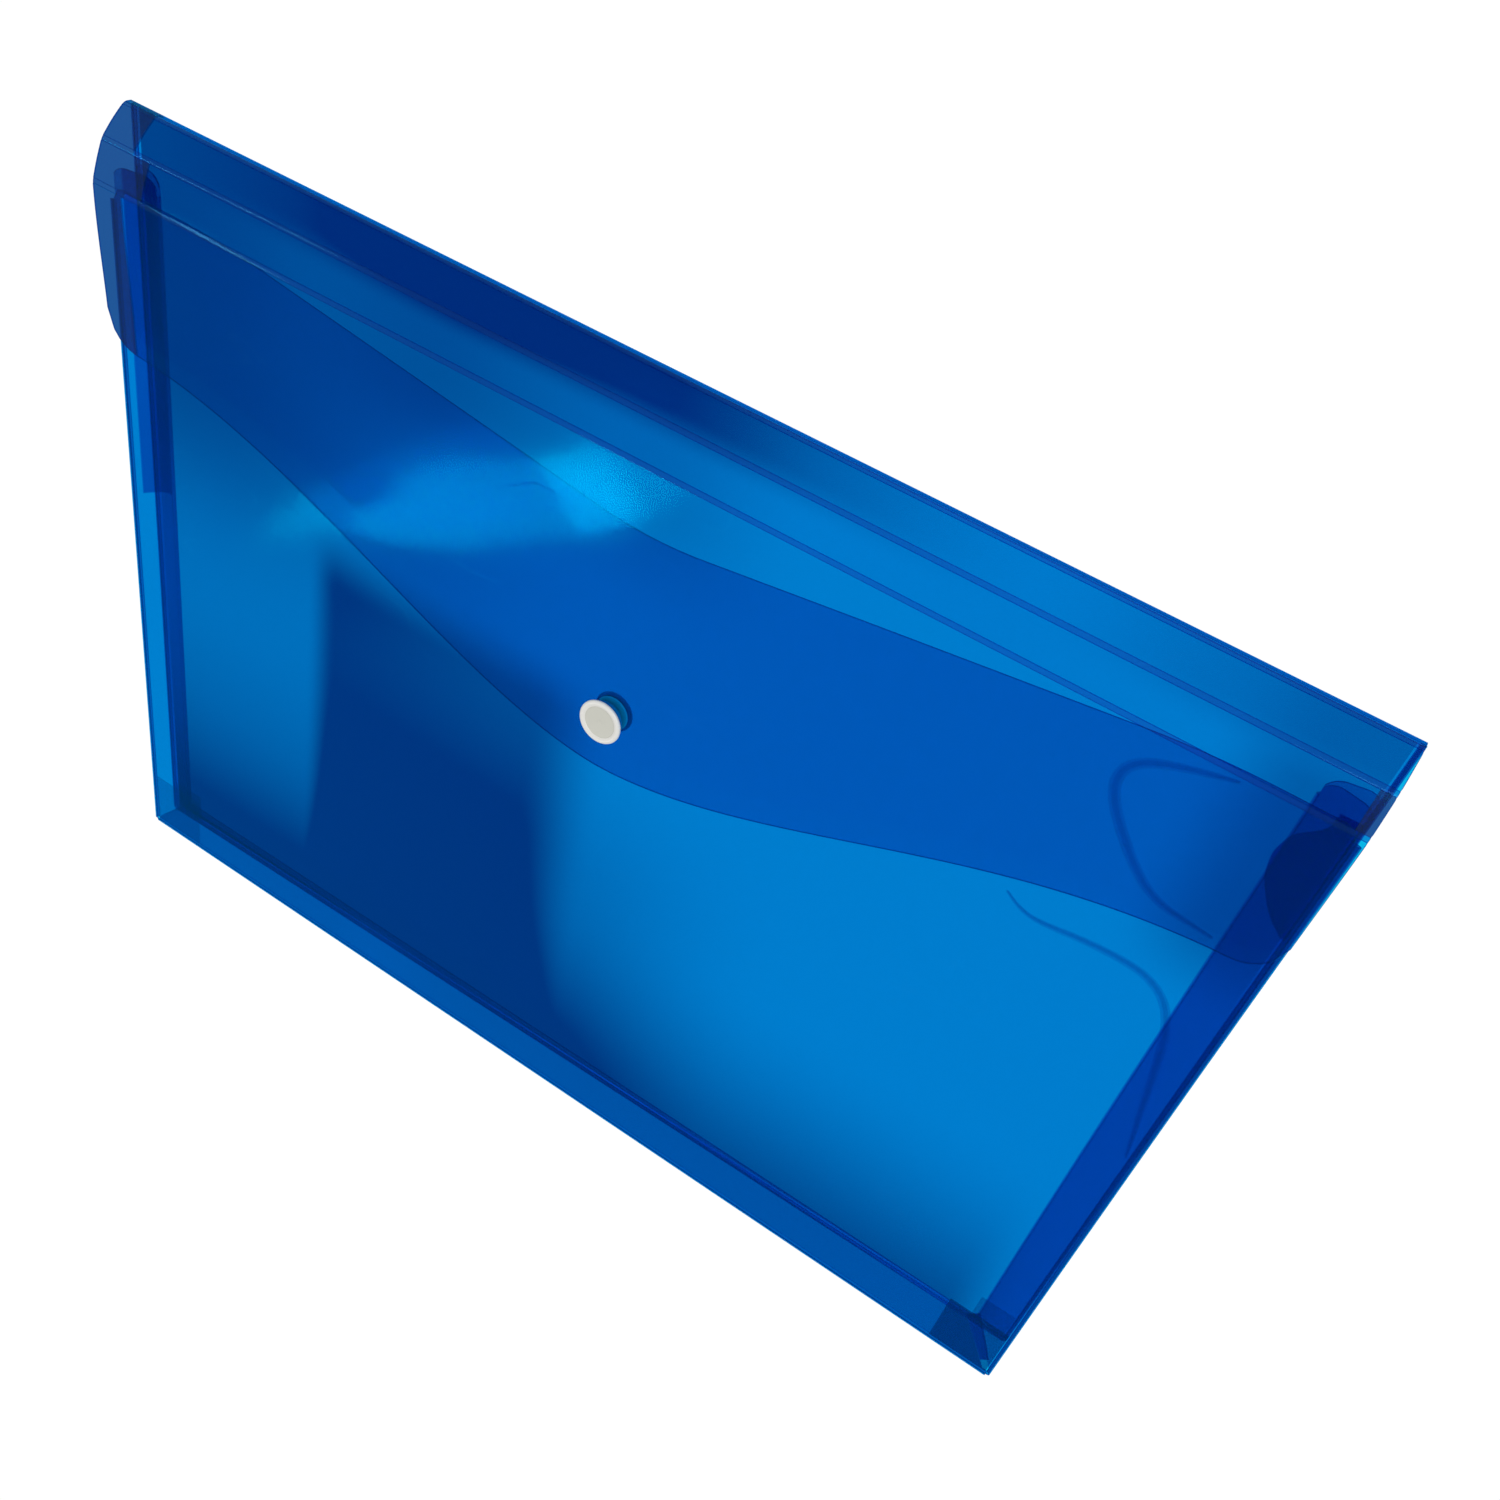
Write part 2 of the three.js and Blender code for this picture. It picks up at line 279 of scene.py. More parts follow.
studio_world()
soft_lamp("key", (0.75, 0.55, 1.1), (0, 0, 0), 0.9, 0.9, 9)
soft_lamp(
    "window", (-0.525, -0.399, 0.742), (-0.035, 0.083, 0.015), 0.082, 0.4, 0.8,
    shape="ELLIPSE", turn=-8.6,
)
soft_lamp("window_pane", (-0.47, -0.357, 0.806), (-0.02, 0.09, 0.015), 0.08, 0.08, 0.4)
soft_lamp("glint_flap_crease", (-0.807, 0.008, 0.752), (-0.14, 0.108, 0.015), 0.35, 0.04, 0.4)
soft_lamp("glint_spine_crease", (-0.832, 0.498, 0.646), (-0.15, 0.118, 0.011), 0.35, 0.04, 0.35)
print("lamps: a soft key, a window that the flap mirrors and a glint for each of two creases")

# %% [markdown]
# ## The blue film
#
# Cast polypropylene lets most blue light through, less than half of the green and almost no
# red. A clear shader with that colour does exactly what stacked film does: two sheets multiply
# to a mid blue, four to a navy. Each sheet here is a closed shell, so light crosses two
# faces, and each face carries the square root of the sheet's colour.
#
# Three things keep it from looking like coloured air. A little haze comes from a Principled
# shader, with flow lines and fine scuffs from a node group. A mirror layer gets stronger at a
# glancing angle, through Fresnel. And the surface isn't quite flat, so reflections wander.
#
# The sheet isn't even. Where it hangs over the left side, at the right end of the front spine
# strip, in the upper left leaf and along the bottom leaf, a darker film is painted shade; a pressed
# crease is paler. Each of these has its own film.

# %% Node group: unevenness of pressed film
def group_sockets(group, inputs, outputs):
    """Number sockets: the inputs with their values, the outputs by name."""
    kind = "NodeSocketFloat"
    for name, value in inputs.items():
        socket = group.interface.new_socket(name=name, in_out="INPUT", socket_type=kind)
        socket.default_value = value
    for name in outputs:
        group.interface.new_socket(name=name, in_out="OUTPUT", socket_type=kind)
    return group.nodes.new("NodeGroupInput"), group.nodes.new("NodeGroupOutput")


def film_unevenness():
    """Slow waves, drawing lines along X and short scuffs, as a height, a mask and a roughness."""
    group = bpy.data.node_groups.new("film_unevenness", "ShaderNodeTree")
    start, end = group_sockets(
        group,
        {"Waves": 1.0, "Lines": 0.2, "Scuffs": 0.3, "Roughness": 0.1},
        ("Height", "Mask", "Roughness"),
    )
    nodes, links = group.nodes, group.links
    place = nodes.new("ShaderNodeTexCoord")

    def noise(scale, stretch, detail):
        mapping = nodes.new("ShaderNodeMapping")
        mapping.inputs["Scale"].default_value = stretch
        links.new(place.outputs["Object"], mapping.inputs["Vector"])
        texture = nodes.new("ShaderNodeTexNoise")
        texture.inputs["Scale"].default_value = scale
        texture.inputs["Detail"].default_value = detail
        links.new(mapping.outputs[0], texture.inputs["Vector"])
        return texture.outputs["Fac"]

    def calculate(operation, first, second):
        node = nodes.new("ShaderNodeMath")
        node.operation = operation
        for socket, value in zip(node.inputs, (first, second)):
            if isinstance(value, float):
                socket.default_value = value
            else:
                links.new(value, socket)
        return node.outputs[0]

    slow = noise(14.0, (1, 1, 1), 1.0)
    waves = calculate("MULTIPLY", slow, start.outputs["Waves"])
    lines = calculate("MULTIPLY", noise(60.0, (0.05, 6, 1), 1.0), start.outputs["Lines"])
    contour = calculate("ABSOLUTE", calculate("SUBTRACT", noise(22.0, (1, 3, 1), 0.0), 0.5), 0.0)
    thin = calculate("LESS_THAN", contour, 0.004)
    patchy = calculate("GREATER_THAN", slow, 0.55)
    scuffs = calculate("MULTIPLY", calculate("MULTIPLY", thin, patchy), start.outputs["Scuffs"])
    links.new(calculate("ADD", waves, calculate("MULTIPLY", lines, 0.02)), end.inputs["Height"])
    links.new(calculate("ADD", lines, scuffs), end.inputs["Mask"])
    rough = calculate("ADD", start.outputs["Roughness"], calculate("MULTIPLY", scuffs, 0.35))
    links.new(rough, end.inputs["Roughness"])
    return group


unevenness = film_unevenness()
print("node group", unevenness.name, "with", len(unevenness.nodes), "nodes")

# %% Blue film materials
def blue_film(
    name, clear, haze, gloss_index, waves, roughness, milk=(0, 0.2, 0.62), glint=(0, 0.6, 1)
):
    """Film: a coloured clear face, a little milky haze and a mirror layer by Fresnel."""
    material, nodes, links = new_material("blue_film_" + name)
    uneven = nodes.new("ShaderNodeGroup")
    uneven.node_tree = unevenness
    uneven.inputs["Waves"].default_value = waves
    uneven.inputs["Roughness"].default_value = roughness
    bump = nodes.new("ShaderNodeBump")
    bump.inputs["Strength"].default_value = 0.25
    bump.inputs["Distance"].default_value = 0.001
    links.new(uneven.outputs["Height"], bump.inputs["Height"])
    see_through = nodes.new("ShaderNodeBsdfTransparent")
    see_through.inputs["Color"].default_value = (*clear, 1)
    body = nodes.new("ShaderNodeBsdfPrincipled")
    body.inputs["Specular IOR Level"].default_value = 0.0
    tone = nodes.new("ShaderNodeMix")
    tone.data_type = "RGBA"
    tone.inputs["A"].default_value = (*milk, 1)
    tone.inputs["B"].default_value = (milk[0] + 0.1, milk[1] + 0.22, milk[2] + 0.23, 1)
    links.new(uneven.outputs["Mask"], tone.inputs["Factor"])
    links.new(tone.outputs["Result"], body.inputs["Base Color"])
    links.new(uneven.outputs["Roughness"], body.inputs["Roughness"])
    links.new(bump.outputs[0], body.inputs["Normal"])
    hazy = nodes.new("ShaderNodeMixShader")
    hazy.inputs["Fac"].default_value = haze
    links.new(see_through.outputs[0], hazy.inputs[1])
    links.new(body.outputs[0], hazy.inputs[2])
    mirror = nodes.new("ShaderNodeBsdfGlossy")
    mirror.inputs["Color"].default_value = (*glint, 1)
    links.new(uneven.outputs["Roughness"], mirror.inputs["Roughness"])
    links.new(bump.outputs[0], mirror.inputs["Normal"])
    glance = nodes.new("ShaderNodeFresnel")
    glance.inputs["IOR"].default_value = gloss_index
    place = nodes.new("ShaderNodeNewGeometry")
    outside = nodes.new("ShaderNodeMath")
    outside.operation = "SUBTRACT"
    outside.inputs[0].default_value = 1.0
    links.new(place.outputs["Backfacing"], outside.inputs[1])
    share = nodes.new("ShaderNodeMath")
    share.operation = "MULTIPLY"
    links.new(glance.outputs[0], share.inputs[0])
    links.new(outside.outputs[0], share.inputs[1])
    finish = nodes.new("ShaderNodeMixShader")
    links.new(share.outputs[0], finish.inputs["Fac"])
    links.new(hazy.outputs[0], finish.inputs[1])
    links.new(mirror.outputs[0], finish.inputs[2])
    output = nodes.new("ShaderNodeOutputMaterial")
    links.new(finish.outputs[0], output.inputs["Surface"])
    return material


# Each film: the colour of one clear face, its haze, mirror index, waves and roughness. In turn:
# panels, faces inside the pocket, spine strips, cut edges, painted shade on the strip ends that
# overhang, mostly at the left, painted shade on the bottom leaf and the left corner web, painted
# shade on the upper left leaf, upper creases, edge folds, welds, the right weld, the bottom leaf's
# inner part with a little painted shade, clinging lines that are partly painted reflection edges,
# and the clinging patch.
film_face = blue_film("face", (0.05, 0.675, 0.886), 0.016, 1.25, 0.4, 0.09)
film_inner = blue_film("inner", (0.05, 0.675, 0.886), 0.012, 1.08, 0.4, 0.12)
film_strip = blue_film("strip", (0.05, 0.66, 0.88), 0.016, 1.12, 0.4, 0.12)
film_rim = blue_film("rim", (0.0, 0.16, 0.5), 0.08, 1.3, 0.2, 0.2)
film_end_painted_shade = blue_film("end", (0.1, 0.28, 0.54), 0.05, 1.2, 0.4, 0.09, milk=(0.15, 0.28, 0.6))
film_leaf_painted_shade = blue_film("gusset", (0.03, 0.4, 0.68), 0.012, 1.08, 0.4, 0.12)
film_upper_left_shade = blue_film("pressed", (0.02, 0.36, 0.72), 0.012, 1.08, 0.4, 0.12)
film_crease = blue_film("crease", (0.02, 0.5, 0.8), 0.03, 1.35, 0.2, 0.1, glint=(0.12, 0.6, 1))
film_fold = blue_film("fold", (0.02, 0.45, 0.74), 0.03, 1.25, 0.4, 0.12)
film_weld = blue_film("weld", (0.6, 0.8, 0.88), 0.04, 1.05, 0.4, 0.2, milk=(0.35, 0.3, 0.6))
film_double = blue_film("double", (0.5, 0.53, 0.68), 0.06, 1.05, 0.4, 0.2, milk=(0.35, 0.3, 0.6))
film_base = blue_film("base", (0.05, 0.6, 0.886), 0.012, 1.08, 0.4, 0.12)
film_cling_and_reflection_edge = blue_film("cling", (0.3, 0.86, 0.93), 0.01, 1.05, 0.2, 0.2)
film_wet = blue_film("wet", (0.02, 0.3, 0.74), 0.01, 1.05, 0.2, 0.2)
print("film materials:", sum(m.name.startswith("blue_film") for m in bpy.data.materials))

# %% [markdown]
# ## One helper for every sheet
#
# Each panel, leaf and crease is a sheet, so one helper makes them all. It takes a grid of
# points halfway through the film and closes a shell round it: a face on each side, and a rim
# that swells a little, as a die-cut edge does. A Solidify modifier would do nearly the same,
# but a shell made point by point also keeps its thickness where the crease strips bend.

# %% Sheet helper
# X where the ends with darker film, which is painted shade, begin: at the left on most strips, on
# the front spine strip and on the flap, and at the right on the front spine strip.
end_from, ridge_end_from, flap_end_from, right_end_from = -169.0, -163.0, -170.0, 176.5
tiny = 0.01


def sheet_of_film(name, middle, thickness=film, face=None, joined=(), painted_shade=None, painted_shade_film=None):
    """A closed shell round a grid of points halfway through the film.

    joined names the sides that run on into a crease: they have no dark cut edge. The painted-shade
    mask tells, for a place in the grid, whether the darker film that paints shade is used there.
    """
    middle = np.asarray(middle, dtype=float)
    rows, columns = middle.shape[:2]
    normal = np.cross(np.gradient(middle, axis=0), np.gradient(middle, axis=1))
    normal /= np.linalg.norm(normal, axis=2, keepdims=True)
    loop = (
        [(0, j) for j in range(columns)]
        + [(i, columns - 1) for i in range(1, rows)]
        + [(rows - 1, j) for j in range(columns - 2, -1, -1)]
        + [(i, 0) for i in range(rows - 2, 0, -1)]
    )
    border = np.array([middle[k] for k in loop])
    border_normal = np.array([normal[k] for k in loop])
    outward = np.cross(np.roll(border, -1, axis=0) - np.roll(border, 1, axis=0), border_normal)
    outward /= np.linalg.norm(outward, axis=1, keepdims=True) + 1e-12
    if np.dot(outward.ravel(), (border - middle.mean(axis=(0, 1))).ravel()) < 0:
        outward = -outward
    count = rows * columns
    points = np.concatenate(
        [
            (middle + normal * thickness / 2).reshape(-1, 3),
            (middle - normal * thickness / 2).reshape(-1, 3),
            border + outward * thickness * 0.25,
        ]
    )
    faces, slots = [], []
    for i in range(rows - 1):
        for j in range(columns - 1):
            a = i * columns + j
            b = a + columns
            upper = (a, b, b + 1, a + 1)
            faces += [upper, tuple(count + k for k in reversed(upper))]
            slots += [2, 2] if painted_shade and painted_shade(i, j) else [0, 0]
    for k, (i, j) in enumerate(loop):
        m, n = loop[(k + 1) % len(loop)]
        lies_on = {"first_row": i == m == 0, "last_row": i == m == rows - 1}
        lies_on.update({"first_column": j == n == 0, "last_column": j == n == columns - 1})
        plain = any(lies_on[side] for side in joined)
        a, b = i * columns + j, m * columns + n
        p, q = 2 * count + k, 2 * count + (k + 1) % len(loop)
        faces += [(a, b, q, p), (p, q, count + b, count + a)]
        slots += [0, 0] if plain else [1, 1]
    mesh = bpy.data.meshes.new(name)
    mesh.from_pydata((points * MM).tolist(), [], faces)
    mesh.polygons.foreach_set("material_index", slots)
    for material in (face or film_face, film_rim, painted_shade_film or film_end_painted_shade)[: 3 if painted_shade else 2]:
        mesh.materials.append(material)
    tidy = bmesh.new()
    tidy.from_mesh(mesh)
    bmesh.ops.recalc_face_normals(tidy, faces=tidy.faces)
    tidy.to_mesh(mesh)
    tidy.free()
    mesh.polygons.foreach_set("use_smooth", [True] * len(mesh.polygons))
    mesh.set_sharp_from_angle(angle=math.radians(35))
    piece = bpy.data.objects.new(name, mesh)
    bpy.context.collection.objects.link(piece)
    return piece


def spread(first, last, count, crowd=0.0):
    """Numbers from first to last, crowded towards both ends as crowd goes from 0 to 1."""
    t = np.linspace(0, 1, count)
    eased = (1 - np.cos(np.pi * t)) / 2
    return first + (last - first) * ((1 - crowd) * t + crowd * eased)


def dress(piece, body, node):
    """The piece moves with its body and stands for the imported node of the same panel."""
    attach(piece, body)
    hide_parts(node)
    print(f"{piece.name}: {len(piece.data.polygons)} faces on {body}")


# %% [markdown]
# ## Back and front panels
#
# The back is a plain sheet. The front's mouth is cut to a wide shallow V with level shoulders
# and small round corners, so papers can be gripped. An empty film panel never stays flat
# between its stiff creases: it bows in a little on each side of the stud, and it ripples.

# %% Back panel
lip = 1.0
ALL_SIDES = ("first_row", "last_row", "first_column", "last_column")


def ripple(x, y, depth):
    return depth * np.sin(x / 31 + 0.7) * np.sin(y / 43 + 1.1)


def back_sheet():
    xs, ys = spread(-half + lip, half - lip, 73), spread(foot + lip, head - lip, 49)
    x, y = np.meshgrid(xs, ys, indexing="ij")
    grid = np.stack([x, y, np.full_like(x, film / 2)], axis=2)
    piece = sheet_of_film("back_sheet", grid, joined=ALL_SIDES)
    piece.data.materials.append(film_inner)
    for face in piece.data.polygons:
        if face.normal.z > 0.5:
            face.material_index = 2
    dress(piece, "back", "back_panel")


back_sheet()

# %% Front panel
notch_depth, notch_blend = 19.5, 16.0
shoulder, shoulder_blend, corner = 36.0, 16.0, 4.0
mouth = front_high[1]
stud_y = (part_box("popper_cap")[0][1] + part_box("popper_cap")[1][1]) / 2 / MM


def mouth_line(x):
    """Height of the front panel's cut edge: a shallow V with a soft point and round corners."""
    out = np.abs(x)
    shoulder_x = half - shoulder
    slope = notch_depth / shoulder_x
    line = mouth - notch_depth + slope * out
    point = mouth - notch_depth + slope * notch_blend * (1 + (out / notch_blend) ** 2) / 2
    line = np.where(out < notch_blend, point, line)
    ease = np.clip((shoulder_x + shoulder_blend - out) / (2 * shoulder_blend), 0, 1)
    eased = mouth - shoulder_blend * slope * ease**2
    line = np.where(out > shoulder_x - shoulder_blend, eased, line)
    edge = np.clip(out - (half - corner), 0, corner)
    return np.minimum(line, mouth - corner + np.sqrt(np.maximum(corner**2 - edge**2, 0)))


widest_opening = 6.0


def opening(x, y):
    """How far the front springs further open than its hinges alone, most at the lower right."""
    down = np.clip((stud_y - y) / (stud_y - foot), 0, 1)
    return widest_opening * down**1.5 * np.clip((x + half) / (2 * half), 0, 1)


def front_bow(x, y):
    height = (y - foot) / (mouth - foot)
    lobes = np.sin(np.pi * np.clip(np.abs(x) / half, 0, 1)) ** 2
    held = 1 - np.exp(-(x**2 + (y - stud_y) ** 2) / (2 * 16.0**2))
    slack = -1.4 * lobes * np.sin(np.pi * np.clip(height, 0, 1)) + ripple(x, y, 0.12)
    return opening(x, y) + held * slack


def front_sheet():
    xs = spread(-half + lip, half - lip, 121, 0.35)
    t = spread(0, 1, 61, 0.2)
    x = np.repeat(xs[:, None], len(t), axis=1)
    y = (foot + lip) + (mouth_line(x * half / (half - lip)) - foot - lip) * t[None, :]
    z = front_level + front_bow(x, y)
    piece = sheet_of_film("front_sheet", np.stack([x, y, z], axis=2), joined=ALL_SIDES[:3])
    dress(piece, "front", "front_panel")


front_sheet()

# %% [markdown]
# ## Gusset leaves
#
# Two leaves meet in an inward crease on three sides. The side leaves end in a mitre at the
# bottom and in round tabs at the mouth, a little above the front's corners. Each leaf is laid
# out flat from its hinge line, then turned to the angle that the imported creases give. The lower
# right mitre is wider, because the wallet opens further there.

# %% Gusset leaves
leaf_run = abs(creases["left_gusset_crease"][0] - creases["expand"][0])
leaf_rise = creases["left_gusset_crease"][2] - creases["expand"][2]
leaf_angle = math.atan2(leaf_rise, leaf_run)
leaf_width = math.hypot(leaf_run, leaf_rise)
leaf_drop = 0.45
mitre, wide_mitre = 0.2, 1.9
crease_cut = 0.9
tab_radius = 4.5
upper_shade_from, upper_shade_inset = 0.57, 2.4
painted_shade_width = 11.4
tab_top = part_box("left_gusset_rear")[1][1] / MM


def leaf_point(u, front, more=0.0):
    """Inward distance and height of a leaf's middle, u from its hinge line.

    more is how much further open the gusset stands there than at its packed angle.
    """
    sine = (leaf_rise + more / 2) / leaf_width
    cosine = np.sqrt(1 - sine**2)
    inward = u * cosine + leaf_drop * sine
    rise = u * sine - leaf_drop * cosine
    level = creases["left_front_edge"][2] + more if front else creases["expand"][2]
    return inward, (level - rise if front else level + rise)


def side_leaf(side, front):
    us = spread(0.8, leaf_width - 0.6, 17)
    t = spread(0, 1, 75, 0.4)
    near = np.clip(tab_radius - us, 0, tab_radius)
    far = np.clip(us - (leaf_width - tab_radius), 0, tab_radius)
    round_off = np.sqrt(np.maximum(tab_radius**2 - np.maximum(near, far) ** 2, 0))
    top = tab_top - tab_radius + round_off
    start = foot + (wide_mitre if front and side > 0 else mitre) + us
    y = start[:, None] + (top - start)[:, None] * t[None, :]
    inward, z = leaf_point(us[:, None], front, opening(side * half, y))
    x = side * (half - inward)
    where = ("left" if side < 0 else "right", "front" if front else "rear")
    grid = np.stack([x, y, z], axis=2)

    # The upper part of the left front leaf takes a darker film: painted shade.
    def upper_end(i, j):
        return t[j] > upper_shade_from and us[i] > upper_shade_inset

    painted_shade = (upper_end, film_upper_left_shade) if front and side < 0 else ()
    name = f"{where[0]}_leaf_{where[1]}"
    piece = sheet_of_film(name, grid, film, film_inner, ALL_SIDES[:3], *painted_shade)
    dress(piece, f"{where[0]}_gusset_{where[1]}_leaf", f"{where[0]}_gusset_{where[1]}")


def bottom_leaf(front):
    us = spread(0.8, leaf_width - 0.6, 17)
    t = spread(-1, 1, 91)
    reach = np.where(t > 0, half - (wide_mitre if front else mitre), half - mitre)
    x = (reach[None, :] - us[:, None]) * t[None, :]
    inward, z = leaf_point(us[:, None], front, opening(x, foot))
    where = "front" if front else "rear"
    grid = np.stack([x, foot + inward, z], axis=2)

    # The bottom front leaf's outer part takes a darker film, and its inner part a slightly darker
    # one: painted shade.
    def outer_part(i, j):
        return us[i] < painted_shade_width

    painted_shade = (outer_part, film_leaf_painted_shade) if front else ()
    face = film_base if front else film_inner
    piece = sheet_of_film(f"bottom_leaf_{where}", grid, film, face, ALL_SIDES, *painted_shade)
    dress(piece, f"bottom_gusset_{where}_leaf", f"bottom_gusset_{where}")


for front in (False, True):
    side_leaf(-1, front)
    side_leaf(1, front)
    bottom_leaf(front)
print(f"leaves {leaf_width:.1f} mm wide at {math.degrees(leaf_angle):.1f} degrees")

# %% [markdown]
# ## Top fold and spine
#
# Round the top edge, three narrow strips carry the film from the back to the flap: the fold
# stands on the back, and the two spine strips lean over the mouth. The joints give the crease
# lines, so a strip is just the film between two of them.

# %% Top fold and spine strips
fold_foot = np.array([head - film / 2, film / 2])
fold_top = creases["flap_open"][1:3]
spine_ridge = creases["spine_crease"][1:3]
flap_crease = creases["flap_crease"][1:3]


def along_width(count, crowd=0.0, stop=end_from):
    """Numbers from side to side, also where the ends with darker film, painted shade, begin."""
    return np.sort(np.append(spread(-half, half, count, crowd), (stop, right_end_from)))


def narrow_strip(
    name, first, last, body, node, bulge=0.0, gap=0.7, stop=end_from, right_stop=half
):
    """Film between two crease lines, given as (y, z), and full width along X."""
    along = (last - first) / np.linalg.norm(last - first)
    outside = np.array([-along[1], along[0]])
    t = spread(0, 1, 13)
    line = first + along * gap + ((last - first) - 2 * gap * along) * t[:, None]
    line = line + outside * (bulge * np.sin(np.pi * t))[:, None]
    xs = along_width(61, 0.0, stop)
    grid = np.zeros((len(xs), len(t), 3))
    grid[:, :, 0] = xs[:, None]
    grid[:, :, 1:] = line[None, :, :]

    # The strip's ends take the darker film: painted shade.
    def ends(i, j):
        return not stop - tiny < xs[i] < right_stop - tiny

    dress(sheet_of_film(name, grid, film, film_strip, ALL_SIDES[2:], ends), body, node)


narrow_strip("top_fold_strip_film", fold_foot, fold_top, "top_fold_strip", "top_fold", gap=0.6)
narrow_strip("spine_strip_rear", fold_top, spine_ridge, "spine_rear_strip", "spine_rear", -0.2)
narrow_strip(
    "spine_strip_front", spine_ridge, flap_crease, "spine_front_strip", "spine_front",
    -0.15, stop=ridge_end_from, right_stop=right_end_from,
)

# %% [markdown]
# ## Flap
#
# The flap is as wide as the wallet, and its lower edge is one long wave that drops to a
# tongue. The stud holds the tongue. Towards its sides the film hangs free, so there it lies
# closer to the front panel, and just below the crease it stands up in a soft curve, which is
# where the window's light shows.

# %% Flap
tongue_tip = flap_low[1]
tongue_rise = 46.5
wave_exponent = 0.88
flap_corner = 10.0


def wave_line(x):
    """Height of the flap's lower edge."""
    out = np.abs(x)
    share = np.clip(out / half, 0, 1) ** wave_exponent
    line = tongue_tip + tongue_rise * (1 - np.cos(np.pi * share)) / 2
    edge = np.clip(out - (half - flap_corner), 0, flap_corner)
    return line + flap_corner - np.sqrt(np.maximum(flap_corner**2 - edge**2, 0))


def flap_bow(x, y):
    down = (flap_crease[0] - y) / (flap_crease[0] - tongue_tip)
    down_side = np.clip((flap_crease[0] - y) / (flap_crease[0] - tongue_tip - tongue_rise), 0, 1)
    out = np.abs(x) / half
    held = 1 - np.exp(-(x**2 + (y - stud_y) ** 2) / (2 * 15.0**2))
    swell = 0.9 * np.sin(np.pi * np.clip(down, 0, 1)) * (1 - 0.6 * out**2)
    droop = -2.2 * (out**2 * (3 - 2 * out)) * (down_side**2 * (3 - 2 * down_side))
    return held * (swell + droop + ripple(x, y, 0.1) * np.clip(4 * down, 0, 1))


def flap_sheet():
    xs = along_width(141, 0.3, flap_end_from)
    t = spread(0, 1, 49, 0.25)
    x = np.repeat(xs[:, None], len(t), axis=1)
    top = flap_crease[0] - 0.7
    y = top + (wave_line(x) - top) * t[None, :]
    grid = np.stack([x, y, flap_level + flap_bow(x, y)], axis=2)

    # The flap's left end takes the darker film: painted shade.
    def left_end(i, j):
        return xs[i] < flap_end_from - tiny

    piece = sheet_of_film("flap_sheet", grid, joined=ALL_SIDES[2:3], painted_shade=left_end)
    dress(piece, "flap_panel", "flap")


flap_sheet()

# %% [markdown]
# ## Creases
#
# A crease in polypropylene is a pressed line where the film is thinner and a little pale. It joins
# two panels that turn: its first edge follows the first panel, the last edge the second.
# Each is swept from a short curve that leaves both panels in line with them.

# %% Crease helper
def bend(first, first_way, last, last_way, reach, steps=11):
    """A Bezier curve in a plane, leaving first along first_way and reaching last along last_way."""
    first, last = np.asarray(first, dtype=float), np.asarray(last, dtype=float)
    a = first + np.asarray(first_way, dtype=float) * reach
    b = last + np.asarray(last_way, dtype=float) * reach
    t = np.linspace(0, 1, steps)[:, None]
    return (1 - t) ** 3 * first + 3 * t * (1 - t) ** 2 * a + 3 * t**2 * (1 - t) * b + t**3 * last


def crease_along_x(name, curve_at, ends, film_kind, thickness=0.34):
    """Sweeps a (y, z) curve along X. ends gives half the length at each point of the curve."""
    grid, xs = [], along_width(91)
    for x in xs:
        curve = curve_at(x)
        grid.append(np.column_stack([np.broadcast_to(ends, (len(curve),)) * x / half, curve]))

    # The left ends of the creases take the darker film: painted shade.
    def left_end(i, j):
        return xs[j] < end_from - tiny

    painted_shade = left_end if film_kind is film_crease else None
    grid = np.stack(grid, axis=1)
    return sheet_of_film(name, grid, thickness, film_kind, ALL_SIDES[:2], painted_shade)


def crease_along_y(name, side, curve_at, start, stop, film_kind, thickness=0.34):
    """Sweeps an (inward, z) curve up the page, from start to stop at each point of the curve."""
    grid = []
    for t in np.linspace(0, 1, 71):
        y = np.min(start) + (np.max(stop) - np.min(start)) * t
        curve = curve_at(side * half, y)
        rows = np.broadcast_to(start + (stop - start) * t, (len(curve),))
        grid.append(np.column_stack([side * (half - curve[:, 0]), rows, curve[:, 1]]))
    return sheet_of_film(name, np.stack(grid, axis=1), thickness, film_kind, ALL_SIDES[:2])


def hinge(piece, body, other):
    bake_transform(piece)
    print(f"{piece.name}: bends from {body} to {other}")


# %% Creases of the top fold, the spine and the flap
def unit(v):
    v = np.asarray(v, dtype=float)
    return v / np.linalg.norm(v)


def top_crease(name, before, corner_point, after, body, other, gap_before, gap_after):
    way_in, way_out = unit(corner_point - before), unit(after - corner_point)
    first, last = corner_point - way_in * gap_before, corner_point + way_out * gap_after
    curve = bend(first, way_in, last, -way_out, 0.62 * min(gap_before, gap_after))
    piece = crease_along_x(name, lambda x: curve, half, film_crease)
    hinge(piece, body, other)


flap_end = np.array([tongue_tip, flap_crease[1]])
corners = [np.array([foot, film / 2]), fold_foot, fold_top, spine_ridge, flap_crease, flap_end]
strips = ["back", "top_fold_strip", "spine_rear_strip", "spine_front_strip", "flap_panel"]
gaps = [(0.8, 0.6), (0.6, 0.7), (0.7, 0.7), (0.7, 0.7)]
names = ["back_to_fold", "fold_to_spine", "spine_ridge", "spine_to_flap"]
for k, name in enumerate(names):
    top_crease("crease_" + name, *corners[k : k + 3], strips[k], strips[k + 1], *gaps[k])

# %% [markdown]
# ## Gusset creases
#
# At its outer edge each leaf turns right back from the panel, so the film makes a tight U
# there. Seen from the front these U-turns are the dark thin outline of the wallet. The inner
# crease of each gusset is a V.

